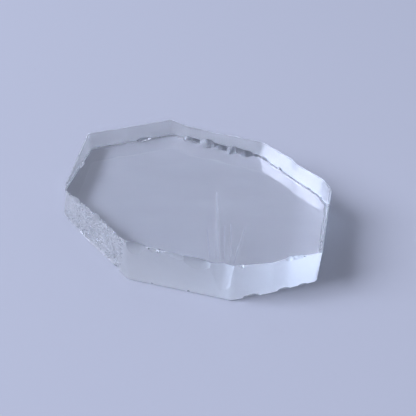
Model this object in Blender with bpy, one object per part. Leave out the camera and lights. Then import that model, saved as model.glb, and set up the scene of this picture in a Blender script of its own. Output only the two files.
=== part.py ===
"""A slab of clear quartz, cut as an irregular polygon, lying on its polished underside.

The two large faces are flat and polished. The walls between them are ground, each with its
own lean, and their rims are worn and chipped. Metres, +Z up, origin under the middle of the slab.
"""

import math
import random

import bmesh
import bpy
from mathutils import Matrix, Vector

MM = 0.001

# Driving dimensions
LENGTH = 34.0 * MM
THICKNESS = 5.5 * MM
COLUMN_SPACING = 0.95 * MM
WALL_ROWS = (0.3, 0.6)
ARRIS_REACH = 0.22 * MM
ARRIS_WEAR = 0.07 * MM
TOP_RIM_WEAR = 0.13 * MM
FOOT_RIM_WEAR = 0.22 * MM
RIM_WEAR_SPREAD = 0.45
SEED = 41

# Ground relief of the walls: the coarse front-left wall, and all the others
COARSE_GRAIN = 0.06 * MM
FINE_GRAIN = 0.015 * MM

# The corners of the slab, counter-clockwise from the left tip, in millimetres on a 34 mm slab:
# name, (x, y) at the foot, (x, y) at the top rim
CORNERS = (
    ("left_tip", (-17.00, 0.85), (-15.65, -1.55)),
    ("left_front", (-13.70, -3.85), (-12.45, -4.85)),
    ("front_left", (-9.85, -8.40), (-8.35, -9.95)),
    ("front_start", (-7.80, -11.15), (-7.45, -10.70)),
    ("front_flake", (2.35, -14.05), (1.95, -14.15)),
    ("front_tip", (4.40, -14.65), (4.50, -14.65)),
    ("front_right", (9.15, -13.45), (8.95, -14.15)),
    ("right_bend", (10.75, -12.80), (10.75, -13.35)),
    ("right_front", (14.60, -11.55), (14.70, -12.45)),
    ("right_tip", (16.75, -0.75), (17.10, -0.95)),
    ("right_back", (15.90, 1.10), (16.30, 1.25)),
    ("step_low", (13.50, 3.90), (13.25, 4.35)),
    ("step_high", (12.60, 5.00), (12.75, 5.50)),
    ("back_right", (8.95, 9.35), (9.25, 9.15)),
    ("back_bend", (-0.80, 13.25), (-0.90, 12.95)),
    ("back_tip", (-3.10, 14.35), (-3.30, 14.65)),
    ("back_left", (-14.30, 11.05), (-14.50, 11.25)),
    ("left_end", (-16.45, 3.10), (-16.05, -0.45)),
)
COARSE_WALLS = ("left_tip", "left_front")

# Conchoidal flakes off the rims, in millimetres:
# name, wall (its first corner), share of the way along it, rim, width, depth inwards, height
FLAKES = (
    ("front_corner_flake", "front_flake", 0.55, "top", 2.9, 0.42, 4.6),
    ("front_rim_flake", "front_start", 0.85, "top", 3.9, 0.42, 1.45),
    ("front_rim_graze", "front_start", 0.60, "top", 3.4, 0.22, 0.60),
    ("front_rim_nick", "front_start", 0.31, "top", 0.9, 0.24, 0.45),
    ("front_left_moon", "front_start", 0.09, "top", 2.7, 0.40, 1.30),
    ("front_left_foot", "front_left", 0.28, "foot", 1.5, 0.28, 1.20),
    ("left_rim_bite", "left_front", 0.22, "top", 1.5, 0.34, 0.60),
    ("left_rim_nick", "left_front", 0.68, "top", 1.0, 0.26, 0.45),
    ("left_tip_rim", "left_tip", 0.40, "top", 1.7, 0.30, 0.80),
    ("left_foot_bite", "left_tip", 0.70, "foot", 1.5, 0.26, 0.55),
    ("right_foot_bite", "front_tip", 0.50, "foot", 2.3, 0.34, 0.60),
    ("right_foot_nick", "front_right", 0.85, "foot", 1.7, 0.30, 0.50),
    ("right_foot_chip", "right_bend", 0.55, "foot", 1.3, 0.22, 0.35),
    ("right_rim_tooth_a", "right_bend", 0.06, "top", 1.1, 0.32, 0.50),
    ("right_rim_tooth_b", "right_bend", 0.24, "top", 0.9, 0.30, 0.42),
    ("right_rim_tooth_c", "right_bend", 0.38, "top", 0.8, 0.24, 0.40),
    ("right_wall_rim", "right_front", 0.62, "top", 1.8, 0.26, 0.50),
    ("right_wall_foot", "right_front", 0.35, "foot", 2.2, 0.34, 0.70),
    ("back_right_foot_a", "step_high", 0.35, "foot", 1.7, 0.40, 0.75),
    ("back_right_foot_b", "right_back", 0.45, "foot", 1.6, 0.36, 0.60),
    ("back_rim_bite", "step_high", 0.72, "top", 1.4, 0.20, 0.40),
    ("back_foot_small", "back_bend", 0.04, "foot", 1.7, 0.62, 1.30),
    ("back_foot_wide", "back_right", 0.73, "foot", 2.9, 0.95, 1.90),
    ("back_foot_long", "back_right", 0.34, "foot", 4.4, 0.70, 1.20),
    ("back_foot_deep", "back_right", 0.38, "foot", 1.9, 1.15, 1.50),
    ("back_rim_wide", "back_right", 0.62, "top", 3.2, 0.30, 0.60),
    ("back_rim_small", "back_right", 0.25, "top", 1.6, 0.22, 0.45),
    ("far_left_foot", "back_tip", 0.36, "foot", 2.3, 0.40, 0.80),
    ("far_left_rim", "back_tip", 0.66, "top", 1.9, 0.24, 0.50),
    ("left_wall_foot", "back_left", 0.45, "foot", 2.0, 0.38, 0.80),
    ("left_wall_rim", "back_left", 0.76, "top", 1.5, 0.26, 0.55),
)
FLAKE_HOLLOW = 1.0
FLAKE_FINENESS = 3
WELD_DISTANCE = 0.02 * MM


def clear_scene():
    """Remove every object, so that the part starts in an empty scene."""
    for item in list(bpy.data.objects):
        bpy.data.objects.remove(item, do_unlink=True)


def quartz_material():
    """Clear, colourless quartz with a faintly cool cast."""
    material = bpy.data.materials.new("clear_quartz")
    material.use_nodes = True
    shader = material.node_tree.nodes["Principled BSDF"]
    shader.inputs["Base Color"].default_value = (0.80, 0.83, 0.88, 1.0)
    shader.inputs["Roughness"].default_value = 0.12
    shader.inputs["Metallic"].default_value = 0.0
    shader.inputs["IOR"].default_value = 1.545
    shader.inputs["Transmission Weight"].default_value = 0.9
    return material


def corner_points(index):
    """The foot and top points of a corner, as vectors in metres."""
    _, foot, top = CORNERS[index % len(CORNERS)]
    return Vector(foot) * MM, Vector(top) * MM


def corner_index(name):
    """Where a named corner stands in the outline."""
    return [corner[0] for corner in CORNERS].index(name)


def wall_stations(index):
    """Shares along one wall: close to both arrises, and evenly between them."""
    start = corner_points(index)[1]
    end = corner_points(index + 1)[1]
    length = (end - start).length
    reach = ARRIS_REACH / length
    count = max(1, round(length / COLUMN_SPACING))
    inner = [reach + (1.0 - 2.0 * reach) * step / count for step in range(count + 1)]
    return [0.0] + inner


def outline_columns():
    """The columns round the slab: foot point, top point, arris flag and grain height."""
    columns = []
    for index, corner in enumerate(CORNERS):
        foot_a, top_a = corner_points(index)
        foot_b, top_b = corner_points(index + 1)
        grain = COARSE_GRAIN if corner[0] in COARSE_WALLS else FINE_GRAIN
        for share in wall_stations(index):
            foot = foot_a.lerp(foot_b, share)
            top = top_a.lerp(top_b, share)
            columns.append((foot, top, share == 0.0, grain))
    return columns


def inward_normals(points):
    """Unit normals that point into a counter-clockwise outline."""
    normals = []
    for index, _ in enumerate(points):
        along = points[(index + 1) % len(points)] - points[index - 1]
        normals.append(Vector((-along.y, along.x)).normalized())
    return normals


def wear_widths(rng, count, width):
    """Worn widths round a rim, each one partly like the one before it."""
    widths = []
    level = 1.0
    for _ in range(count):
        level = 0.5 * level + 0.5 * (1.0 + rng.uniform(-1.0, 1.0) * 2.0 * RIM_WEAR_SPREAD)
        widths.append(width * max(level, 0.35))
    return widths


def slab_rings():
    """Rings of points from the foot to the top, with worn rims and ground walls."""
    rng = random.Random(SEED)
    columns = outline_columns()
    foot_normals = inward_normals([column[0] for column in columns])
    top_normals = inward_normals([column[1] for column in columns])
    foot_wear = wear_widths(rng, len(columns), FOOT_RIM_WEAR)
    top_wear = wear_widths(rng, len(columns), TOP_RIM_WEAR)
    rings = [[] for _ in range(4 + len(WALL_ROWS))]
    for index, (foot, top, is_arris, grain) in enumerate(columns):
        low = foot_wear[index]
        high = top_wear[index]
        arris = ARRIS_WEAR if is_arris else 0.0
        levels = [(0.0, low), (low, 0.0)]
        levels += [(share * THICKNESS, None) for share in WALL_ROWS]
        levels += [(THICKNESS - high, 0.0), (THICKNESS, high)]
        for ring, (height, inset) in zip(rings, levels):
            share = height / THICKNESS
            normal = foot_normals[index].lerp(top_normals[index], share).normalized()
            if inset is None:
                inset = rng.uniform(0.0, 2.0) * grain
            place = foot.lerp(top, share) + normal * (inset + arris)
            ring.append(Vector((place.x, place.y, height)))
    return rings


def centre_rings(rings):
    """Move the rings so that the slab's box is centred on the origin, LENGTH long."""
    points = [point for ring in rings for point in ring]
    low_x = min(point.x for point in points)
    high_x = max(point.x for point in points)
    low_y = min(point.y for point in points)
    high_y = max(point.y for point in points)
    scale = LENGTH / (high_x - low_x)
    middle = Vector(((low_x + high_x) / 2.0, (low_y + high_y) / 2.0, 0.0))
    for point in points:
        place = (point - middle) * scale
        point.x = place.x
        point.y = place.y
    return middle, scale


def slab_mesh(rings):
    """One closed mesh: the walls between the rings, and the two polished faces."""
    shape = bmesh.new()
    rows = [[shape.verts.new(point) for point in ring] for ring in rings]
    count = len(rows[0])
    for low, high in zip(rows, rows[1:]):
        for index in range(count):
            after = (index + 1) % count
            shape.faces.new((low[index], low[after], high[after], high[index]))
    shape.faces.new(list(reversed(rows[0])))
    shape.faces.new(rows[-1])
    mesh = bpy.data.meshes.new("quartz_slab")
    shape.to_mesh(mesh)
    shape.free()
    return mesh


def rim_frame(wall, share, rim, middle, scale):
    """A point on a rim, with the directions along the wall, outwards, and off the face."""
    index = corner_index(wall)
    side = 1 if rim == "top" else 0
    start = corner_points(index)[side]
    end = corner_points(index + 1)[side]
    along = (end - start).normalized()
    outward = Vector((along.y, -along.x, 0.0))
    place = start.lerp(end, share).to_3d()
    place = (place - middle) * scale
    place.z = THICKNESS if rim == "top" else 0.0
    rise = Vector((0.0, 0.0, 1.0 if rim == "top" else -1.0))
    return place, along.to_3d(), outward, rise


def flake_cutter(entry, middle, scale):
    """An ellipsoid that lifts one conchoidal flake off a rim."""
    name, wall, share, rim, width, depth, height = entry
    place, along, outward, rise = rim_frame(wall, share, rim, middle, scale)
    depth = depth * MM
    height = height * MM
    # The ellipsoid passes through the flake's lines on the face and on the wall
    swell = math.hypot(1.0 + FLAKE_HOLLOW, FLAKE_HOLLOW)
    reach = math.sqrt(1.0 - 2.0 * FLAKE_HOLLOW ** 2 / swell ** 2)
    half_width = width * MM / 2.0 / reach
    centre = place + FLAKE_HOLLOW * (outward * depth + rise * height)
    shape = bmesh.new()
    bmesh.ops.create_icosphere(shape, subdivisions=FLAKE_FINENESS, radius=1.0)
    turn = Matrix((along, outward, rise)).transposed().to_4x4()
    if turn.determinant() < 0.0:
        turn = Matrix((-along, outward, rise)).transposed().to_4x4()
    size = Matrix.Diagonal((half_width, swell * depth, swell * height, 1.0))
    bmesh.ops.transform(shape, matrix=Matrix.Translation(centre) @ turn @ size, verts=shape.verts)
    mesh = bpy.data.meshes.new(name)
    shape.to_mesh(mesh)
    shape.free()
    cutter = bpy.data.objects.new(name, mesh)
    cutter.hide_render = True
    cutter.display_type = "WIRE"
    bpy.context.collection.objects.link(cutter)
    return cutter


def chip_rims(slab, middle, scale):
    """Take every flake off the slab."""
    for entry in FLAKES:
        cutter = flake_cutter(entry, middle, scale)
        cut = slab.modifiers.new(entry[0], "BOOLEAN")
        cut.operation = "DIFFERENCE"
        cut.solver = "EXACT"
        cut.object = cutter


def tidy_facets(slab):
    """Close the hair-thin gaps that the flakes leave, and split the faces into even facets."""
    weld = slab.modifiers.new("weld", "WELD")
    weld.merge_threshold = WELD_DISTANCE
    facets = slab.modifiers.new("facets", "TRIANGULATE")
    facets.ngon_method = "BEAUTY"


def build_slab():
    """The whole crystal: one solid."""
    rings = slab_rings()
    middle, scale = centre_rings(rings)
    slab = bpy.data.objects.new("quartz_slab", slab_mesh(rings))
    bpy.context.collection.objects.link(slab)
    slab.data.materials.append(quartz_material())
    chip_rims(slab, middle, scale)
    tidy_facets(slab)
    return slab


clear_scene()
build_slab()
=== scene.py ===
"""The looks of a clear quartz slab: polished faces, ground walls, chipped rims and an inner veil.

The slab is cut from a plain prism on the frame's own box, ground, chipped and given its finish.
Lengths are in metres; MM turns millimetres into them.
"""

import math
import random

import bpy
from bpy.props import (
    FloatProperty,
    FloatVectorProperty,
    IntProperty,
    PointerProperty,
)
from mathutils import Matrix, Vector, noise


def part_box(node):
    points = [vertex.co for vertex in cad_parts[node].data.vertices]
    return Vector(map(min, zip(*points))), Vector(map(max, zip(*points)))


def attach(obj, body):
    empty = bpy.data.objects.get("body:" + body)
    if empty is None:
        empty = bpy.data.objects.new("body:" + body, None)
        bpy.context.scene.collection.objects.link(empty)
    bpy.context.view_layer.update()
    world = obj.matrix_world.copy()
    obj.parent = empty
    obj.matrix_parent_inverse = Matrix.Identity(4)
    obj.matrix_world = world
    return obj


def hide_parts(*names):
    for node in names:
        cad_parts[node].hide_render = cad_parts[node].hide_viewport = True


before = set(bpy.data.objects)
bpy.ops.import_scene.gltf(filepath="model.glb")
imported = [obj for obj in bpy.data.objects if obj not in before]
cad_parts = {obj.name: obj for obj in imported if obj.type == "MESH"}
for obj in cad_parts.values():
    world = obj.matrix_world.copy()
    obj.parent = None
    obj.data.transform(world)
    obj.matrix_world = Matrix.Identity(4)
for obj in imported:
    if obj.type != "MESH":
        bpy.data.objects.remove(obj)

bl_info = {
    "name": "Quartz Slab",
    "version": (1, 0, 0),
    "blender": (4, 5, 0),
    "location": "View3D > Sidebar > Quartz",
    "description": "Cuts, grinds, chips and lights a clear quartz slab",
    "category": "Object",
}

MM = 0.001
NODE = "quartz_slab"
BODY = "root"

BOX_LOW, BOX_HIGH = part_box(NODE)
LENGTH = BOX_HIGH.x - BOX_LOW.x
THICKNESS = BOX_HIGH.z - BOX_LOW.z

# The slab's corners, counter-clockwise from the left tip, in millimetres:
# name, (x, y) at the foot, (x, y) at the top rim
CORNERS = (
    ("left_tip", (-17.00, 0.85), (-15.65, -1.55)),
    ("left_front", (-13.70, -3.85), (-12.45, -4.85)),
    ("front_left", (-9.85, -8.40), (-8.35, -9.95)),
    ("front_start", (-7.80, -11.15), (-7.45, -10.70)),
    ("front_flake", (2.35, -14.05), (1.95, -14.15)),
    ("front_tip", (4.40, -14.65), (4.50, -14.65)),
    ("front_right", (9.15, -13.45), (8.95, -14.15)),
    ("right_bend", (10.75, -12.80), (10.75, -13.35)),
    ("right_front", (14.60, -11.55), (14.70, -12.45)),
    ("right_tip", (16.75, -0.75), (17.10, -0.95)),
    ("right_back", (15.90, 1.10), (16.30, 1.25)),
    ("step_low", (13.50, 3.90), (13.25, 4.35)),
    ("step_high", (12.60, 5.00), (12.75, 5.50)),
    ("back_right", (8.95, 9.35), (9.25, 9.15)),
    ("back_bend", (-0.80, 13.25), (-0.90, 12.95)),
    ("back_tip", (-3.10, 14.35), (-3.30, 14.65)),
    ("back_left", (-14.30, 11.05), (-14.50, 11.25)),
    ("left_end", (-16.45, 3.10), (-16.05, -0.45)),
)
SUGARY_WALL = "left_front"
SUGAR_COMES = "left_tip"
SUGAR_GOES = "front_left"
SATIN_WALLS = ("right_front", "right_tip", "right_back", "step_low", "step_high")
BACK_WALLS = ("back_right", "back_bend", "back_tip", "back_left", "left_end")
RAGGED_RIMS = ("left_tip", "left_front", "front_start")

# How sugary the wall before the sugary one is at its start, and how fast the sugar comes and goes
SUGAR_START = 0.30
SUGAR_SLOPE = 1.3

# Conchoidal flakes off the rims, in millimetres:
# name, wall (its first corner), share of the way along it, rim, width, depth inwards, height
FLAKES = (
    ("front_corner_flake", "front_flake", 0.55, "top", 2.9, 0.34, 4.6),
    ("front_rim_flake", "front_start", 0.85, "top", 3.9, 0.42, 1.45),
    ("front_rim_graze", "front_start", 0.60, "top", 3.4, 0.22, 0.60),
    ("front_rim_nick", "front_start", 0.31, "top", 0.9, 0.24, 0.45),
    ("front_left_moon", "front_start", 0.09, "top", 2.7, 0.40, 1.30),
    ("front_left_foot", "front_left", 0.28, "foot", 1.1, 0.20, 0.80),
    ("left_rim_bite", "left_front", 0.22, "top", 1.5, 0.34, 0.60),
    ("left_rim_nick", "left_front", 0.68, "top", 1.0, 0.26, 0.45),
    ("left_tip_rim", "left_tip", 0.40, "top", 1.7, 0.30, 0.80),
    ("left_foot_bite", "left_tip", 0.70, "foot", 1.5, 0.26, 0.55),
    ("right_foot_bite", "front_tip", 0.50, "foot", 2.3, 0.34, 0.60),
    ("right_foot_nick", "front_right", 0.85, "foot", 1.7, 0.30, 0.50),
    ("right_foot_chip", "right_bend", 0.55, "foot", 1.3, 0.22, 0.35),
    ("right_rim_tooth_a", "right_bend", 0.06, "top", 1.1, 0.32, 0.50),
    ("right_rim_tooth_b", "right_bend", 0.24, "top", 0.9, 0.30, 0.42),
    ("right_rim_tooth_c", "right_bend", 0.38, "top", 0.8, 0.24, 0.40),
    ("right_wall_rim", "right_front", 0.62, "top", 1.1, 0.16, 0.30),
    ("right_wall_foot", "right_front", 0.35, "foot", 1.2, 0.18, 0.35),
    ("back_right_foot_a", "step_high", 0.35, "foot", 1.0, 0.24, 0.40),
    ("back_right_foot_b", "right_back", 0.45, "foot", 0.9, 0.22, 0.35),
    ("back_rim_bite", "step_high", 0.72, "top", 1.4, 0.20, 0.40),
    ("back_foot_small", "back_bend", 0.04, "foot", 1.7, 0.62, 1.30),
    ("back_foot_wide", "back_right", 0.73, "foot", 2.9, 0.95, 1.90),
    ("back_foot_long", "back_right", 0.34, "foot", 4.4, 0.70, 1.20),
    ("back_foot_deep", "back_right", 0.38, "foot", 1.9, 1.15, 1.50),
    ("back_foot_a", "back_right", 0.07, "foot", 1.2, 0.34, 0.45),
    ("back_foot_b", "back_right", 0.20, "foot", 2.5, 0.85, 0.95),
    ("back_foot_c", "back_right", 0.53, "foot", 2.7, 0.75, 0.90),
    ("back_foot_d", "back_right", 0.63, "foot", 1.7, 0.55, 1.10),
    ("back_foot_e", "back_right", 0.91, "foot", 2.3, 0.60, 0.95),
    ("back_foot_f", "step_high", 0.86, "foot", 1.3, 0.32, 0.40),
    ("back_rim_wide", "back_right", 0.62, "top", 3.2, 0.30, 0.60),
    ("back_rim_small", "back_right", 0.25, "top", 1.6, 0.22, 0.45),
    ("far_left_foot", "back_tip", 0.36, "foot", 2.3, 0.40, 0.80),
    ("far_left_rim", "back_tip", 0.66, "top", 1.9, 0.24, 0.50),
    ("left_wall_foot", "back_left", 0.45, "foot", 2.0, 0.38, 0.80),
    ("left_wall_rim", "back_left", 0.76, "top", 1.5, 0.26, 0.55),
)
SOFT_FLAKE = "front_corner_flake"
# The flakes along the back foot take a tint of painted shade, for the contact shadow seen through
# them
SHADED_FLAKES = "back_foot"
FLAKE_HOLLOW = 1.0
FLAKE_FINENESS = 4
RIPPLE_SIZE = 0.6 * MM

# Tiny nicks: how often ragged and satin rims are struck, next to the others, which of them lie on
# the foot, and the ranges of their widths, depths and heights as shares, and of their places
NICK_SEED = 7
NICK_FINENESS = 2
RAGGED_ODDS = 3.0
SATIN_ODDS = 0.35
FOOT_NICK_EVERY = 3
NICK_WIDTHS = (0.35, 1.0)
NICK_WIDTH_POWER = 1.5
NICK_DEPTHS = (0.2, 0.45)
NICK_HEIGHTS = (0.25, 0.8)
NICK_PLACES = (0.04, 0.96)

# How far an edge or face may be from level, upright or its height and still count as such
HEIGHT_SLACK = MM / 100.0
FACE_SLACK = MM / 50.0
LEVEL_SLACK = MM / 10.0
SAME_HEADING = 0.97
FLAT_NORMAL = 0.9999
STEEP_NORMAL = 0.5

# Finishes: name, then the settings for tint, roughness and clearness, where None is fully clear,
# then the grain's size and height in millimetres, and the spread of its roughness
WALL_FINISHES = (
    ("polished_quartz", "tint", "polish", None, 2.5, 0.001, 0.01),
    # The ground walls at the front take a darker tint than the same finish at the back: painted
    # shade that dims them where the light falls
    ("ground_quartz", "ground_tint", "ground", "ground_pass", 0.25, 0.02, 0.08),
    ("frosted_quartz", "tint", "ground", "ground_pass", 0.25, 0.02, 0.08),
    ("satin_quartz", "tint", "satin", "satin_pass", 0.3, 0.008, 0.06),
    ("sugary_quartz", "sugar_tint", "sugar", "sugar_pass", 0.15, 0.03, 0.12),
)
BREAK_FINISHES = (
    # The top rim's flakes take a darker tint: painted shade in their hollows, beside the
    # roughness of worn breaks
    ("worn_break", "worn_tint", "worn", "ground_pass", 0.15, 0.03, 0.15),
    # The soft break takes the same painted shade tint as the ground walls at the front
    ("soft_break", "ground_tint", "ground", "ground_pass", 0.25, 0.02, 0.08),
    ("fresh_break", "tint", "fresh", None, 0.2, 0.004, 0.05),
    # The dull break is tinted with painted shade, darker and bluish, for the shadow under the
    # back foot
    ("dull_break", "grime", "ground", None, 0.25, 0.02, 0.2),
)
GRAIN_DETAIL = 4.0
SMOOTH_ANGLE = math.radians(28.0)


class QuartzSizes(bpy.types.PropertyGroup):
    """Sizes of the slab's finish."""

    top_wear: FloatProperty(
        name="Top rim wear", description="Width of the worn bevel along the top rim",
        default=0.13 * MM, min=0.0, unit="LENGTH", precision=5)
    foot_wear: FloatProperty(
        name="Foot rim wear", description="Width of the worn bevel along the foot",
        default=0.22 * MM, min=0.0, unit="LENGTH", precision=5)
    arris_wear: FloatProperty(
        name="Arris wear", description="Width of the worn bevel between two walls",
        default=0.30 * MM, min=0.0, unit="LENGTH", precision=5)
    cell: FloatProperty(
        name="Wall cell", description="Side of one cell of the ground walls' mesh",
        default=0.2 * MM, min=0.05 * MM, unit="LENGTH", precision=5)
    sugar_height: FloatProperty(
        name="Sugar height", description="Height of the sugary grains of the front-left wall",
        default=0.22 * MM, min=0.0, unit="LENGTH", precision=5)
    sugar_size: FloatProperty(
        name="Sugar size", description="Size across of one sugary grain",
        default=0.22 * MM, min=0.1 * MM, unit="LENGTH", precision=5)
    wave_height: FloatProperty(
        name="Wave height",
        description="Height of the waves that grinding left on the other walls",
        default=0.03 * MM, min=0.0, unit="LENGTH", precision=5)
    wave_size: FloatProperty(
        name="Wave size", description="Size across of one of those waves",
        default=1.2 * MM, min=0.1 * MM, unit="LENGTH", precision=5)
    nicks: IntProperty(
        name="Nicks", description="How many tiny nicks the rims have", default=190, min=0)
    nick_size: FloatProperty(
        name="Nick size", description="Width of the largest tiny nick",
        default=0.55 * MM, min=0.05 * MM, unit="LENGTH", precision=5)
    flake_ripple: FloatProperty(
        name="Flake ripple", description="Unevenness of a flake, as a share of its size",
        subtype="FACTOR", default=0.16, min=0.0, max=1.0)
    feather_needles: IntProperty(
        name="Feather needles", description="How many thin needles the inner feather has",
        default=11, min=1)


class QuartzLooks(bpy.types.PropertyGroup):
    """Colours and finishes of the quartz, with tints that paint shade on its front walls and
    chips.
    """

    tint: FloatVectorProperty(
        name="Tint", description="Colour that the surfaces let through",
        subtype="COLOR", size=3, min=0.0, max=1.0, default=(0.98, 0.985, 0.98))
    # Painted shade: a darker tint for the ground walls at the front than for the same finish at
    # the back, dimming them where the light falls
    ground_tint: FloatVectorProperty(
        name="Front shade tint", description="Colour that the ground front walls let through",
        subtype="COLOR", size=3, min=0.0, max=1.0, default=(0.90, 0.905, 0.90))
    sugar_tint: FloatVectorProperty(
        name="Sugar tint", description="Colour that the sugary walls let through",
        subtype="COLOR", size=3, min=0.0, max=1.0, default=(0.97, 0.975, 0.97))
    # Painted shade: a darker tint for the hollows of the top rim's flakes
    worn_tint: FloatVectorProperty(
        name="Flake shade tint", description="Colour that the top rim's flakes let through",
        subtype="COLOR", size=3, min=0.0, max=1.0, default=(0.62, 0.63, 0.63))
    depth_colour: FloatVectorProperty(
        name="Depth colour", description="Colour that the quartz takes on with depth",
        subtype="COLOR", size=3, min=0.0, max=1.0, default=(0.75, 0.78, 0.80))
    depth_density: FloatProperty(
        name="Depth density", description="How fast the colour grows with depth, per metre",
        default=4.0, min=0.0)
    ior: FloatProperty(
        name="Refractive index", description="How strongly quartz bends light",
        default=1.545, min=1.0)
    polish: FloatProperty(
        name="Polish", description="Roughness of the two polished faces",
        subtype="FACTOR", default=0.012, min=0.0, max=1.0)
    ground: FloatProperty(
        name="Ground", description="Roughness of the ground walls",
        subtype="FACTOR", default=0.57, min=0.0, max=1.0)
    satin: FloatProperty(
        name="Satin", description="Roughness of the smoother walls on the right",
        subtype="FACTOR", default=0.32, min=0.0, max=1.0)
    sugar: FloatProperty(
        name="Sugar", description="Roughness of the sugary front-left wall",
        subtype="FACTOR", default=0.35, min=0.0, max=1.0)
    worn: FloatProperty(
        name="Worn break", description="Roughness inside the top rim's flakes",
        subtype="FACTOR", default=0.4, min=0.0, max=1.0)
    fresh: FloatProperty(
        name="Fresh break", description="Roughness inside the foot's flakes and the tiny nicks",
        subtype="FACTOR", default=0.07, min=0.0, max=1.0)
    glints: FloatProperty(
        name="Glints", description="Share of the sugary grains' facets that are smooth breaks",
        subtype="FACTOR", default=0.3, min=0.0, max=1.0)
    # Painted shade: a dark bluish tint for the chips along the back foot, standing in for the
    # shadow under the slab seen through them
    grime: FloatVectorProperty(
        name="Foot chip shade", description="Colour that the dull breaks along the back foot let through",
        subtype="COLOR", size=3, min=0.0, max=1.0, default=(0.62, 0.65, 0.71))
    haze: FloatProperty(
        name="Haze", description="How much the smears on the polished faces dim",
        subtype="FACTOR", default=0.06, min=0.0, max=1.0)
    ground_pass: FloatProperty(
        name="Ground clearness", description="Share of the light that the ground walls pass",
        subtype="FACTOR", default=0.97, min=0.0, max=1.0)
    satin_pass: FloatProperty(
        name="Satin clearness", description="Share of the light that the satin walls pass",
        subtype="FACTOR", default=0.98, min=0.0, max=1.0)
    sugar_pass: FloatProperty(
        name="Sugar clearness", description="Share of the light that the sugary wall passes",
        subtype="FACTOR", default=0.96, min=0.0, max=1.0)
    feather_colour: FloatVectorProperty(
        name="Feather", description="Colour of the inner feather",
        subtype="COLOR", size=3, min=0.0, max=1.0, default=(0.96, 0.98, 1.0))
    feather_alpha: FloatProperty(
        name="Feather strength", description="How much the inner feather hides",
        subtype="FACTOR", default=0.13, min=0.0, max=1.0)


class QuartzStage(bpy.types.PropertyGroup):
    """The floor, the lights and the camera."""

    floor_colour: FloatVectorProperty(
        name="Floor", description="Colour of the floor",
        subtype="COLOR", size=3, min=0.0, max=1.0, default=(0.30, 0.311, 0.337))
    sky_colour: FloatVectorProperty(
        name="Sky", description="Colour of the light from all round",
        subtype="COLOR", size=3, min=0.0, max=1.0, default=(0.75, 0.79, 1.0))
    sky_strength: FloatProperty(
        name="Sky strength", description="Strength of the light from all round",
        default=0.75, min=0.0)
    key_power: FloatProperty(
        name="Key power", description="Power of the light from the left",
        default=21.5, min=0.0, unit="POWER")
    key_width: FloatProperty(
        name="Key width", description="Width of the light from the left",
        default=0.55, min=0.001, unit="LENGTH")
    key_height: FloatProperty(
        name="Key height", description="Height of the light from the left",
        default=0.65, min=0.001, unit="LENGTH")
    key_distance: FloatProperty(
        name="Key distance", description="How far the light stands from the slab",
        default=1.0, min=0.01, unit="LENGTH")
    key_elevation: FloatProperty(
        name="Key elevation", description="How high the light stands",
        default=math.radians(40.0), unit="ROTATION")
    key_turn: FloatProperty(
        name="Key turn", description="How far the light stands to the front of straight left",
        default=math.radians(6.0), unit="ROTATION")
    inner_bounces: IntProperty(
        name="Inner bounces", description="How often light may bounce inside the quartz",
        default=16, min=1)
    glass_blur: FloatProperty(
        name="Glass blur", description="How much light that passes the quartz is blurred",
        default=0.0, min=0.0)
    camera_distance: FloatProperty(
        name="Camera distance", description="How far the camera stands from its target",
        default=0.105, min=0.01, unit="LENGTH")
    camera_elevation: FloatProperty(
        name="Camera elevation", description="How high the camera looks down from",
        default=math.radians(40.0), unit="ROTATION")
    camera_lens: FloatProperty(
        name="Lens", description="Focal length in millimetres on a 36 mm sensor",
        default=69.23, min=1.0)


def select_only(piece):
    """Make one object the only one selected, and active."""
    bpy.ops.object.select_all(action="DESELECT")
    piece.select_set(True)
    bpy.context.view_layer.objects.active = piece


def pick(piece, kind, test):
    """Select the faces or edges of a mesh that pass a test, and enter edit mode."""
    select_only(piece)
    mesh = piece.data
    for part in (mesh.vertices, mesh.edges, mesh.polygons):
        part.foreach_set("select", [False] * len(part))
    items = mesh.polygons if kind == "FACE" else mesh.edges
    found = [item for item in items if test(mesh, item)]
    for item in found:
        item.select = True
        for index in item.vertices:
            mesh.vertices[index].select = True
    if not found:
        raise RuntimeError(f"nothing on {piece.name} was picked")
    bpy.context.tool_settings.mesh_select_mode = (False, kind == "EDGE", kind == "FACE")
    bpy.ops.object.mode_set(mode="EDIT")
    bpy.ops.mesh.select_mode(type=kind)


def corner_points(index):
    """The foot and top points of a corner, as vectors in metres."""
    _, foot, top = CORNERS[index % len(CORNERS)]
    return Vector(foot) * MM, Vector(top) * MM


def corner_index(name):
    """Where a named corner stands in the outline."""
    return [corner[0] for corner in CORNERS].index(name)


def wall_line(index, height):
    """The two ends of a wall at a height, in plan."""
    share = min(max(height / THICKNESS, 0.0), 1.0)
    foot_a, top_a = corner_points(index)
    foot_b, top_b = corner_points(index + 1)
    return foot_a.lerp(top_a, share), foot_b.lerp(top_b, share)


def wall_at(place):
    """The wall that a point lies nearest to, and how far it is in plan."""
    best = (0, 1.0)
    flat = Vector((place.x, place.y))
    for index in range(len(CORNERS)):
        start, end = wall_line(index, place.z)
        along = end - start
        share = min(max((flat - start).dot(along) / along.length_squared, 0.0), 1.0)
        gap = (start + along * share - flat).length
        if gap < best[1]:
            best = (index, gap)
    return best


def edge_points(mesh, edge):
    """The two ends of an edge."""
    return mesh.vertices[edge.vertices[0]].co, mesh.vertices[edge.vertices[1]].co


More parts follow.
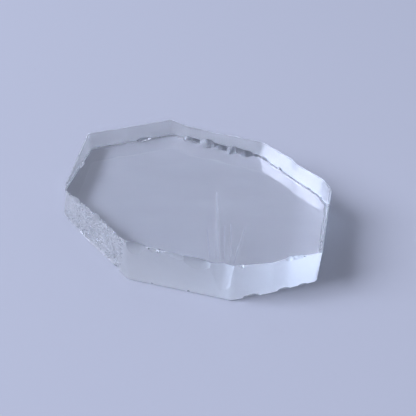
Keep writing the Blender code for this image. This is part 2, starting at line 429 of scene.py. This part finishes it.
def prism():
    """A prism of the frame's thickness on the slab's corners."""
    bpy.ops.object.select_all(action="DESELECT")
    bpy.ops.mesh.primitive_cylinder_add(
        vertices=len(CORNERS), radius=LENGTH / 2.0, depth=THICKNESS,
        end_fill_type="NGON", location=(0.0, 0.0, THICKNESS / 2.0))
    slab = bpy.context.object
    slab.name = slab.data.name = "dressed_slab"
    bpy.ops.object.transform_apply(location=True, rotation=True, scale=True)
    for level, height in enumerate((0.0, THICKNESS)):
        ring = [v for v in slab.data.vertices if abs(v.co.z - height) < THICKNESS / 4.0]
        ring.sort(key=lambda vertex: math.atan2(vertex.co.y, vertex.co.x))
        for index, vertex in enumerate(ring):
            place = corner_points(index)[level]
            vertex.co = (place.x, place.y, height)
    bpy.ops.object.mode_set(mode="EDIT")
    bpy.ops.mesh.select_all(action="SELECT")
    bpy.ops.mesh.normals_make_consistent(inside=False)
    bpy.ops.object.mode_set(mode="OBJECT")
    return slab


def wear(slab, width, segments, test):
    """Bevel the picked edges as wear does."""
    pick(slab, "EDGE", test)
    bpy.ops.mesh.bevel(offset=width, segments=segments, profile=0.5, affect="EDGES")
    bpy.ops.object.mode_set(mode="OBJECT")


def upright(mesh, edge):
    """Whether an edge runs from the foot to the top."""
    a, b = edge_points(mesh, edge)
    return abs(a.z - b.z) > THICKNESS / 2.0


def wear_edges(slab, sizes):
    """Worn bevels along the arrises, the top rim and the foot."""
    def at_height(height):
        def test(mesh, edge):
            a, b = edge_points(mesh, edge)
            return abs(a.z - height) < HEIGHT_SLACK and abs(b.z - height) < HEIGHT_SLACK
        return test

    wear(slab, sizes.arris_wear, 2, upright)
    wear(slab, sizes.top_wear, 2, at_height(THICKNESS))
    wear(slab, sizes.foot_wear, 2, at_height(0.0))


def grid_walls(slab, sizes):
    """Divide the walls into even cells, first in height and then along each wall."""
    pick(slab, "EDGE", upright)
    bpy.ops.mesh.subdivide(number_cuts=round(THICKNESS / sizes.cell) - 1)
    bpy.ops.object.mode_set(mode="OBJECT")
    for index in range(len(CORNERS)):
        start, end = wall_line(index, THICKNESS / 2.0)
        length = (end - start).length
        heading = (end - start).normalized()

        def level(mesh, edge):
            a, b = edge_points(mesh, edge)
            run = Vector((b.x - a.x, b.y - a.y))
            if abs(a.z - b.z) > LEVEL_SLACK or run.length < length / 2.0:
                return False
            if abs(run.normalized().dot(heading)) < SAME_HEADING:
                return False
            return wall_at((a + b) / 2.0)[0] == index

        cuts = round(length / sizes.cell) - 1
        if cuts < 1:
            continue
        pick(slab, "EDGE", level)
        bpy.ops.mesh.subdivide(number_cuts=cuts)
        bpy.ops.object.mode_set(mode="OBJECT")


def sugar_share(place):
    """How sugary the walls are at a point: fully on one wall, less along its two neighbours."""
    index = wall_at(place)[0]
    wall = CORNERS[index][0]
    if wall not in (SUGAR_COMES, SUGARY_WALL, SUGAR_GOES):
        return 0.0
    start, end = wall_line(index, place.z)
    run = (Vector((place.x, place.y)) - start).dot(end - start) / (end - start).length_squared
    if wall == SUGAR_COMES:
        return min(max(SUGAR_START + SUGAR_SLOPE * run, 0.0), 1.0)
    if wall == SUGAR_GOES:
        return min(max(1.0 - SUGAR_SLOPE * run, 0.0), 1.0)
    return 1.0


# How near to a rim the sugary walls' cells stay whole, how often the others are cut, and how far
# from the rims the sugar and the waves reach their full height
SUGAR_ROOM = 0.3 * MM
SUGAR_CUTS = 2
SUGAR_FADE = 0.12 * MM
WAVE_FADE = 0.5 * MM


def refine_sugar(slab):
    """Divide the sugary walls' cells again, so that they can hold grains."""
    def sugary_cell(mesh, face):
        middle = face.center
        room = min(middle.z, THICKNESS - middle.z)
        if room <= SUGAR_ROOM or abs(face.normal.z) >= STEEP_NORMAL:
            return False
        return sugar_share(middle) > 0.0

    pick(slab, "FACE", sugary_cell)
    bpy.ops.mesh.subdivide(number_cuts=SUGAR_CUTS)
    bpy.ops.object.mode_set(mode="OBJECT")


def wall_group(slab, name, sizes, sugary, fade):
    """A vertex group of the sugary walls or of the others, fading out towards the rims."""
    group = slab.vertex_groups.new(name=name)
    for vertex in slab.data.vertices:
        share = sugar_share(vertex.co) if sugary else 1.0 - sugar_share(vertex.co)
        room = min(vertex.co.z - sizes.foot_wear, THICKNESS - sizes.top_wear - vertex.co.z)
        weight = share * min(max(room / fade, 0.0), 1.0)
        if weight > 0.0:
            group.add([vertex.index], weight, "REPLACE")
    return group


def press(slab, group, texture, height, level):
    """Press a texture into a group of vertices, and apply it."""
    select_only(slab)
    relief = slab.modifiers.new(group.name, "DISPLACE")
    relief.vertex_group = group.name
    relief.texture = texture
    relief.texture_coords = "LOCAL"
    relief.mid_level = level
    relief.strength = height
    bpy.ops.object.modifier_apply(modifier=relief.name)


def grind_walls(slab, sizes):
    """The sugary grains of the front-left wall and the long waves of the others."""
    sugary = wall_group(slab, "sugar", sizes, True, SUGAR_FADE)
    wavy = wall_group(slab, "waves", sizes, False, WAVE_FADE)
    sugar = bpy.data.textures.new("sugar", "VORONOI")
    sugar.noise_scale = sizes.sugar_size
    waves = bpy.data.textures.new("waves", "CLOUDS")
    waves.noise_scale = sizes.wave_size
    waves.noise_depth = 1
    press(slab, sugary, sugar, -sizes.sugar_height, 0.0)
    press(slab, wavy, waves, sizes.wave_height, 1.0)


def rim_frame(wall, share, rim):
    """A point on a rim, with the directions along the wall, outwards, and off the face."""
    index = corner_index(wall)
    side = 1 if rim == "top" else 0
    start = corner_points(index)[side]
    end = corner_points(index + 1)[side]
    along = (end - start).normalized()
    outward = Vector((along.y, -along.x, 0.0))
    place = start.lerp(end, share).to_3d()
    place.z = THICKNESS if rim == "top" else 0.0
    rise = Vector((0.0, 0.0, 1.0 if rim == "top" else -1.0))
    return place, along.to_3d(), outward, rise


def ripple_cutter(piece, ripple, size):
    """Make a cutter's surface uneven, so that no two flakes look alike."""
    uneven = bpy.data.textures.get("flake_ripple")
    if uneven is None:
        uneven = bpy.data.textures.new("flake_ripple", "CLOUDS")
    uneven.noise_scale = size
    uneven.noise_depth = 2
    wobble = piece.modifiers.new("ripple", "DISPLACE")
    wobble.texture = uneven
    wobble.texture_coords = "GLOBAL"
    wobble.strength = ripple
    wobble.mid_level = 0.5


def cutter(name, wall, share, rim, width, depth, height, fineness):
    """An ellipsoid that lifts one conchoidal flake off a rim."""
    place, along, outward, rise = rim_frame(wall, share, rim)
    swell = math.hypot(1.0 + FLAKE_HOLLOW, FLAKE_HOLLOW)
    reach = math.sqrt(1.0 - 2.0 * FLAKE_HOLLOW ** 2 / swell ** 2)
    half_width = width / 2.0 / reach
    centre = place + FLAKE_HOLLOW * (outward * depth + rise * height)
    bpy.ops.object.select_all(action="DESELECT")
    bpy.ops.mesh.primitive_ico_sphere_add(subdivisions=fineness, radius=1.0)
    piece = bpy.context.object
    piece.name = name
    if along.cross(outward).dot(rise) < 0.0:
        along = -along
    turn = Matrix((along, outward, rise)).transposed().to_4x4()
    size = Matrix.Diagonal((half_width, swell * depth, swell * height, 1.0))
    piece.matrix_world = Matrix.Translation(centre) @ turn @ size
    return piece


def nick_cutters(sizes):
    """Tiny nicks scattered along both rims."""
    rng = random.Random(NICK_SEED)
    weights = []
    for index, corner in enumerate(CORNERS):
        start, end = wall_line(index, 0.0)
        odds = RAGGED_ODDS if corner[0] in RAGGED_RIMS else 1.0
        if corner[0] in SATIN_WALLS:
            odds = SATIN_ODDS
        weights.append((end - start).length * odds)
    made = []
    for number in range(sizes.nicks):
        wall = CORNERS[rng.choices(range(len(CORNERS)), weights=weights)[0]][0]
        rim = "top" if number % FOOT_NICK_EVERY else "foot"
        width = sizes.nick_size * rng.uniform(*NICK_WIDTHS) ** NICK_WIDTH_POWER
        depth = width * rng.uniform(*NICK_DEPTHS)
        height = width * rng.uniform(*NICK_HEIGHTS)
        share = rng.uniform(*NICK_PLACES)
        nick = cutter(f"nick_{number}", wall, share, rim, width, depth, height, NICK_FINENESS)
        made.append(nick)
    return made


def strike(slab, sizes, looks):
    """Take every flake and nick off the slab, with a broken finish on what they bare."""
    flakes = [cutter(entry[0], *entry[1:4], *(size * MM for size in entry[4:]), FLAKE_FINENESS)
              for entry in FLAKES]
    nicks = nick_cutters(sizes)
    worn, soft, fresh, dull = [finish(entry, looks) for entry in BREAK_FINISHES]
    chips = bpy.data.collections.new("chips")
    bpy.context.scene.collection.children.link(chips)
    made = flakes + nicks
    for piece in made:
        at_top = piece.matrix_world.translation.z > THICKNESS / 2.0
        # Flakes on the top rim get the break with painted shade in its tint, the rest the fresh
        # one
        bared = worn if piece in flakes and at_top else fresh
        # Chips along the back foot take the break tinted with painted shade
        if piece.name.startswith(SHADED_FLAKES):
            bared = dull
        if piece.name == SOFT_FLAKE:
            bared = soft
        piece.data.materials.append(bared)
        ripple_cutter(piece, sizes.flake_ripple, RIPPLE_SIZE)
        chips.objects.link(piece)
    select_only(slab)
    cut = slab.modifiers.new("chips", "BOOLEAN")
    cut.operation = "DIFFERENCE"
    cut.solver = "EXACT"
    cut.use_self = True
    cut.material_mode = "TRANSFER"
    cut.operand_type = "COLLECTION"
    cut.collection = chips
    bpy.ops.object.modifier_apply(modifier=cut.name)
    bpy.ops.object.select_all(action="DESELECT")
    for piece in made:
        piece.select_set(True)
    bpy.ops.object.delete()
    bpy.data.collections.remove(chips)


def fit_to_frame(slab):
    """Scale and move the slab's mesh onto the frame's own box."""
    points = [vertex.co for vertex in slab.data.vertices]
    low = Vector([min(point[axis] for point in points) for axis in range(3)])
    high = Vector([max(point[axis] for point in points) for axis in range(3)])
    goal = BOX_HIGH - BOX_LOW
    scale = Vector([goal[axis] / (high - low)[axis] for axis in range(3)])
    select_only(slab)
    bpy.ops.object.mode_set(mode="EDIT")
    bpy.ops.mesh.select_all(action="SELECT")
    bpy.ops.transform.resize(value=scale, center_override=(low + high) / 2.0)
    bpy.ops.transform.translate(value=(BOX_LOW + BOX_HIGH) / 2.0 - (low + high) / 2.0)
    bpy.ops.object.mode_set(mode="OBJECT")


def quartz(name, looks, tint, roughness, passing):
    """Clear quartz with one finish of its surface. Returns the material."""
    material = bpy.data.materials.new(name)
    material.use_nodes = True
    tree = material.node_tree
    shader = tree.nodes["Principled BSDF"]
    shader.inputs["Base Color"].default_value = (*tint, 1.0)
    shader.inputs["Roughness"].default_value = roughness
    shader.inputs["IOR"].default_value = looks.ior
    shader.inputs["Transmission Weight"].default_value = passing
    depth = tree.nodes.new("ShaderNodeVolumeAbsorption")
    depth.inputs["Color"].default_value = (*looks.depth_colour, 1.0)
    depth.inputs["Density"].default_value = looks.depth_density
    tree.links.new(depth.outputs["Volume"], tree.nodes["Material Output"].inputs["Volume"])
    return material


def grain(material, size, distance, spread):
    """Fine grain in a material: a bump, and a roughness that varies by spread."""
    tree = material.node_tree
    shader = tree.nodes["Principled BSDF"]
    place = tree.nodes.new("ShaderNodeTexCoord")
    speckle = tree.nodes.new("ShaderNodeTexNoise")
    speckle.inputs["Scale"].default_value = 1.0 / size
    speckle.inputs["Detail"].default_value = GRAIN_DETAIL
    bump = tree.nodes.new("ShaderNodeBump")
    bump.inputs["Distance"].default_value = distance
    span = tree.nodes.new("ShaderNodeMapRange")
    rough = shader.inputs["Roughness"].default_value
    span.inputs["To Min"].default_value = max(rough - spread, 0.0)
    span.inputs["To Max"].default_value = min(rough + spread, 1.0)
    tree.links.new(place.outputs["Object"], speckle.inputs["Vector"])
    tree.links.new(speckle.outputs["Fac"], bump.inputs["Height"])
    tree.links.new(bump.outputs["Normal"], shader.inputs["Normal"])
    tree.links.new(speckle.outputs["Fac"], span.inputs["Value"])
    tree.links.new(span.outputs["Result"], shader.inputs["Roughness"])


def finish(entry, looks):
    """Quartz with the finish that one line of the tables describes. Returns the material."""
    name, tint, roughness, passing, size, height, spread = entry
    share = getattr(looks, passing) if passing else 1.0
    material = quartz(name, looks, getattr(looks, tint), getattr(looks, roughness), share)
    grain(material, size * MM, height * MM, spread)
    return material


# The smears of the haze: their turn, how they are stretched, their size and the noise they span
SMEAR_TURN = (0.0, 0.0, math.radians(-28.0))
SMEAR_STRETCH = (0.3, 1.0, 1.0)
SMEAR_SIZE = 3.0 * MM
SMEAR_DETAIL = 5.0
SMEAR_SPAN = (0.3, 0.7)


def haze(material, looks):
    """Faint smears on the polished faces: a base colour that varies a little."""
    tree = material.node_tree
    shader = tree.nodes["Principled BSDF"]
    place = tree.nodes.new("ShaderNodeTexCoord")
    stretch = tree.nodes.new("ShaderNodeMapping")
    stretch.inputs["Rotation"].default_value = SMEAR_TURN
    stretch.inputs["Scale"].default_value = SMEAR_STRETCH
    smear = tree.nodes.new("ShaderNodeTexNoise")
    smear.inputs["Scale"].default_value = 1.0 / SMEAR_SIZE
    smear.inputs["Detail"].default_value = SMEAR_DETAIL
    ramp = tree.nodes.new("ShaderNodeValToRGB")
    dim, clear = ramp.color_ramp.elements
    dim.position, clear.position = SMEAR_SPAN
    dim.color = (*((1.0 - looks.haze) * value for value in looks.tint), 1.0)
    clear.color = (*looks.tint, 1.0)
    tree.links.new(place.outputs["Object"], stretch.inputs["Vector"])
    tree.links.new(stretch.outputs["Vector"], smear.inputs["Vector"])
    tree.links.new(smear.outputs["Fac"], ramp.inputs["Fac"])
    tree.links.new(ramp.outputs["Color"], shader.inputs["Base Color"])


# The frayed edge of the sugar: the size of its patches, the least share that shows, and the fray
SUGAR_PATCH = 0.5 * MM
SUGAR_LEAST = 0.1
SUGAR_FRAY = 0.7

# The glints of the sugar: the random draw, the size of their clusters, and how much they gather
GLINT_SEED = 11
GLINT_PATCH = 1.2 * MM
GLINT_GATHER = 1.6


def finish_of(face):
    """The finish of a face that no flake has touched."""
    room = min(face.center.z, THICKNESS - face.center.z)
    if abs(face.normal.z) > FLAT_NORMAL and room < FACE_SLACK:
        return "polished_quartz"
    patch = 0.5 + 0.5 * noise.noise(face.center / SUGAR_PATCH)
    if sugar_share(face.center) > SUGAR_LEAST + SUGAR_FRAY * patch:
        return "sugary_quartz"
    wall = CORNERS[wall_at(face.center)[0]][0]
    if wall in SATIN_WALLS:
        return "satin_quartz"
    # The front walls take the copy with painted shade, the back walls the one without
    return "frosted_quartz" if wall in BACK_WALLS else "ground_quartz"


def finish_faces(slab, looks):
    """Give the two large faces their polish, and each wall its ground finish."""
    broken = {index for index, item in enumerate(slab.data.materials)
              if item and "break" in item.name}
    for entry in WALL_FINISHES:
        slab.data.materials.append(finish(entry, looks))
    haze(bpy.data.materials["polished_quartz"], looks)
    rng = random.Random(GLINT_SEED)
    for face in slab.data.polygons:
        if face.material_index in broken:
            continue
        name = finish_of(face)
        if name in ("polished_quartz", "sugary_quartz"):
            face.use_smooth = False
        cluster = 1.0 + GLINT_GATHER * noise.noise(face.center / GLINT_PATCH)
        if name == "sugary_quartz" and rng.random() < looks.glints * cluster:
            name = "fresh_break"
        face.material_index = slab.data.materials.find(name)
    select_only(slab)
    bpy.ops.object.material_slot_remove_unused()


class QUARTZ_OT_cut_slab(bpy.types.Operator):
    """Cut the slab to its outline, wear its edges and grind its walls"""

    bl_idname = "quartz.cut_slab"
    bl_label = "Cut the slab"

    def execute(self, context):
        sizes = context.scene.quartz_sizes
        looks = context.scene.quartz_looks
        slab = prism()
        wear_edges(slab, sizes)
        grid_walls(slab, sizes)
        refine_sugar(slab)
        grind_walls(slab, sizes)
        slab.data.materials.append(quartz("slab_blank", looks, looks.tint, looks.ground, 1.0))
        strike(slab, sizes, looks)
        fit_to_frame(slab)
        select_only(slab)
        bpy.ops.object.shade_smooth_by_angle(angle=SMOOTH_ANGLE)
        finish_faces(slab, looks)
        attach(slab, BODY)
        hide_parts(NODE)
        return {"FINISHED"}


# The feather's needles, in millimetres: x and y of the two ends, half width, level
FEATHER_NEEDLES = (
    (2.80, 0.40, 2.85, -12.60, 0.20, 3.0),
    (2.84, -1.60, 2.90, -12.90, 0.10, 3.1),
    (3.08, -3.00, 3.05, -13.10, 0.10, 2.7),
    (2.50, -4.20, 2.66, -12.20, 0.09, 3.4),
    (1.55, -6.30, 1.95, -12.00, 0.09, 2.6),
    (3.72, -6.10, 3.55, -12.80, 0.10, 3.3),
    (4.50, -5.60, 4.15, -12.40, 0.13, 2.8),
    (4.62, -6.60, 4.25, -12.90, 0.09, 3.5),
    (5.76, -7.90, 4.75, -12.50, 0.12, 3.1),
    (6.20, -6.20, 5.35, -10.60, 0.11, 2.9),
    (5.30, -9.60, 4.65, -13.00, 0.09, 3.4),
)
NEEDLE_THICKNESS = 0.006 * MM
NEEDLE_FINENESS = 3
TATTER_SIZE = 0.5 * MM
TATTER_SHARE = 0.3

# The feather's film: roughness, size and detail of its mottling, and how dark the mottling gets
VEIL_ROUGHNESS = 0.45
VEIL_PATCH = 0.8 * MM
VEIL_DETAIL = 5.0
VEIL_DARK = 0.8


def feather_needle(entry):
    """One thin needle of the feather, lying flat between its two ends."""
    x0, y0, x1, y1, half_width, level = (value * MM for value in entry)
    run = Vector((x1 - x0, y1 - y0, 0.0))
    bpy.ops.object.select_all(action="DESELECT")
    bpy.ops.mesh.primitive_ico_sphere_add(
        subdivisions=NEEDLE_FINENESS, radius=1.0,
        location=((x0 + x1) / 2.0, (y0 + y1) / 2.0, level))
    needle = bpy.context.object
    needle.scale = (half_width, run.length / 2.0, NEEDLE_THICKNESS / 2.0)
    needle.rotation_euler = (0.0, 0.0, math.atan2(run.y, run.x) - math.pi / 2.0)
    bpy.ops.object.transform_apply(location=True, rotation=True, scale=True)
    return needle


def feather_veil(looks):
    """The silvery, mostly clear film of the feather. Returns the material."""
    material = bpy.data.materials.new("feather_veil")
    material.use_nodes = True
    tree = material.node_tree
    shader = tree.nodes["Principled BSDF"]
    shader.inputs["Alpha"].default_value = looks.feather_alpha
    shader.inputs["Metallic"].default_value = 1.0
    shader.inputs["Roughness"].default_value = VEIL_ROUGHNESS
    place = tree.nodes.new("ShaderNodeTexCoord")
    mottle = tree.nodes.new("ShaderNodeTexNoise")
    mottle.inputs["Scale"].default_value = 1.0 / VEIL_PATCH
    mottle.inputs["Detail"].default_value = VEIL_DETAIL
    ramp = tree.nodes.new("ShaderNodeValToRGB")
    dark, light = ramp.color_ramp.elements
    dark.color = (*(VEIL_DARK * value for value in looks.feather_colour), 1.0)
    light.color = (*looks.feather_colour, 1.0)
    tree.links.new(place.outputs["Object"], mottle.inputs["Vector"])
    tree.links.new(mottle.outputs["Fac"], ramp.inputs["Fac"])
    tree.links.new(ramp.outputs["Color"], shader.inputs["Base Color"])
    return material


class QUARTZ_OT_add_feather(bpy.types.Operator):
    """Grow the faint inner feather that fans back from the front corner"""

    bl_idname = "quartz.add_feather"
    bl_label = "Add the inner feather"

    def execute(self, context):
        sizes = context.scene.quartz_sizes
        looks = context.scene.quartz_looks
        needles = [feather_needle(entry) for entry in FEATHER_NEEDLES[:sizes.feather_needles]]
        select_only(needles[0])
        for needle in needles:
            needle.select_set(True)
        bpy.ops.object.join()
        feather = bpy.context.object
        feather.name = feather.data.name = "inner_feather"
        ragged = bpy.data.textures.new("ragged", "CLOUDS")
        ragged.noise_scale = TATTER_SIZE
        tatter = feather.modifiers.new("tatter", "DISPLACE")
        tatter.texture = ragged
        tatter.texture_coords = "LOCAL"
        tatter.strength = TATTER_SHARE * NEEDLE_THICKNESS
        bpy.ops.object.modifier_apply(modifier=tatter.name)
        bpy.ops.object.shade_smooth()
        feather.data.materials.append(feather_veil(looks))
        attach(feather, BODY)
        return {"FINISHED"}


class QUARTZ_OT_set_stage(bpy.types.Operator):
    """Lay the floor, hang the lights and place the camera"""

    bl_idname = "quartz.set_stage"
    bl_label = "Set the stage"

    def execute(self, context):
        stage = context.scene.quartz_stage
        lay_floor(stage)
        light_stage(stage)
        place_camera(stage)
        context.scene.view_settings.view_transform = "Standard"
        context.scene.cycles.blur_glossy = stage.glass_blur
        context.scene.cycles.glossy_bounces = stage.inner_bounces
        context.scene.cycles.max_bounces = stage.inner_bounces
        return {"FINISHED"}


FLOOR_SIZE = 3.0
FLOOR_GAP = 0.04 * MM
FLOOR_ROUGHNESS = 0.9
FLOOR_SHEEN = 0.1
VIEW_TARGET = (1.7 * MM, 2.05 * MM, 0.0)


def lay_floor(stage):
    """A plain pale floor, just under the slab."""
    bpy.ops.object.select_all(action="DESELECT")
    bpy.ops.mesh.primitive_plane_add(size=FLOOR_SIZE, location=(0.0, 0.0, -FLOOR_GAP))
    floor = bpy.context.object
    floor.name = "floor"
    bpy.ops.object.transform_apply(location=True, rotation=True, scale=True)
    paint = bpy.data.materials.new("floor_paint")
    paint.use_nodes = True
    shader = paint.node_tree.nodes["Principled BSDF"]
    shader.inputs["Base Color"].default_value = (*stage.floor_colour, 1.0)
    shader.inputs["Roughness"].default_value = FLOOR_ROUGHNESS
    shader.inputs["Specular IOR Level"].default_value = FLOOR_SHEEN
    floor.data.materials.append(paint)


def light_stage(stage):
    """An even sky, and one soft light on the left, a little to the front."""
    world = bpy.data.worlds.new("sky")
    bpy.context.scene.world = world
    world.use_nodes = True
    sky = world.node_tree.nodes["Background"]
    sky.inputs["Color"].default_value = (*stage.sky_colour, 1.0)
    sky.inputs["Strength"].default_value = stage.sky_strength
    flat = math.cos(stage.key_elevation)
    direction = Vector((-flat * math.cos(stage.key_turn), -flat * math.sin(stage.key_turn),
                        math.sin(stage.key_elevation)))
    bpy.ops.object.light_add(type="AREA", location=direction * stage.key_distance)
    key = bpy.context.object
    key.name = "key_light"
    key.data.energy = stage.key_power
    key.data.shape = "RECTANGLE"
    key.data.size = stage.key_width
    key.data.size_y = stage.key_height
    key.data.color = stage.sky_colour
    key.rotation_mode = "QUATERNION"
    key.rotation_quaternion = direction.to_track_quat("Z", "Y")


def place_camera(stage):
    """The camera, at the photograph's angle."""
    target = Vector(VIEW_TARGET)
    tilt = stage.camera_elevation
    back = Vector((0.0, -math.cos(tilt), math.sin(tilt)))
    bpy.ops.object.camera_add(location=target + back * stage.camera_distance)
    camera = bpy.context.object
    camera.name = "camera"
    camera.rotation_mode = "QUATERNION"
    camera.rotation_quaternion = back.to_track_quat("Z", "Y")
    camera.data.lens = stage.camera_lens
    camera.data.clip_start = 1.0 * MM
    camera.data.clip_end = 10.0
    bpy.context.scene.camera = camera


class QUARTZ_PT_panel(bpy.types.Panel):
    """The slab's steps and settings"""

    bl_label = "Quartz slab"
    bl_idname = "QUARTZ_PT_panel"
    bl_space_type = "VIEW_3D"
    bl_region_type = "UI"
    bl_category = "Quartz"

    def draw(self, context):
        scene = context.scene
        for group in (scene.quartz_sizes, scene.quartz_looks, scene.quartz_stage):
            box = self.layout.box()
            for name in group.__annotations__:
                box.prop(group, name)
        for step in STEPS:
            self.layout.operator(step.bl_idname)


GROUPS = (QuartzSizes, QuartzLooks, QuartzStage)
STEPS = (QUARTZ_OT_cut_slab, QUARTZ_OT_add_feather, QUARTZ_OT_set_stage)


def register():
    """Register the settings, the steps and the panel."""
    for item in (*GROUPS, *STEPS, QUARTZ_PT_panel):
        bpy.utils.register_class(item)
    bpy.types.Scene.quartz_sizes = PointerProperty(type=QuartzSizes)
    bpy.types.Scene.quartz_looks = PointerProperty(type=QuartzLooks)
    bpy.types.Scene.quartz_stage = PointerProperty(type=QuartzStage)


def unregister():
    """Take the panel, the steps and the settings away."""
    for name in ("quartz_sizes", "quartz_looks", "quartz_stage"):
        delattr(bpy.types.Scene, name)
    for item in reversed((*GROUPS, *STEPS, QUARTZ_PT_panel)):
        bpy.utils.unregister_class(item)


def main():
    """Dress the slab and set its stage."""
    register()
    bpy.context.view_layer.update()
    bpy.ops.quartz.cut_slab()
    bpy.ops.quartz.add_feather()
    bpy.ops.quartz.set_stage()


if __name__ == "__main__":
    main()
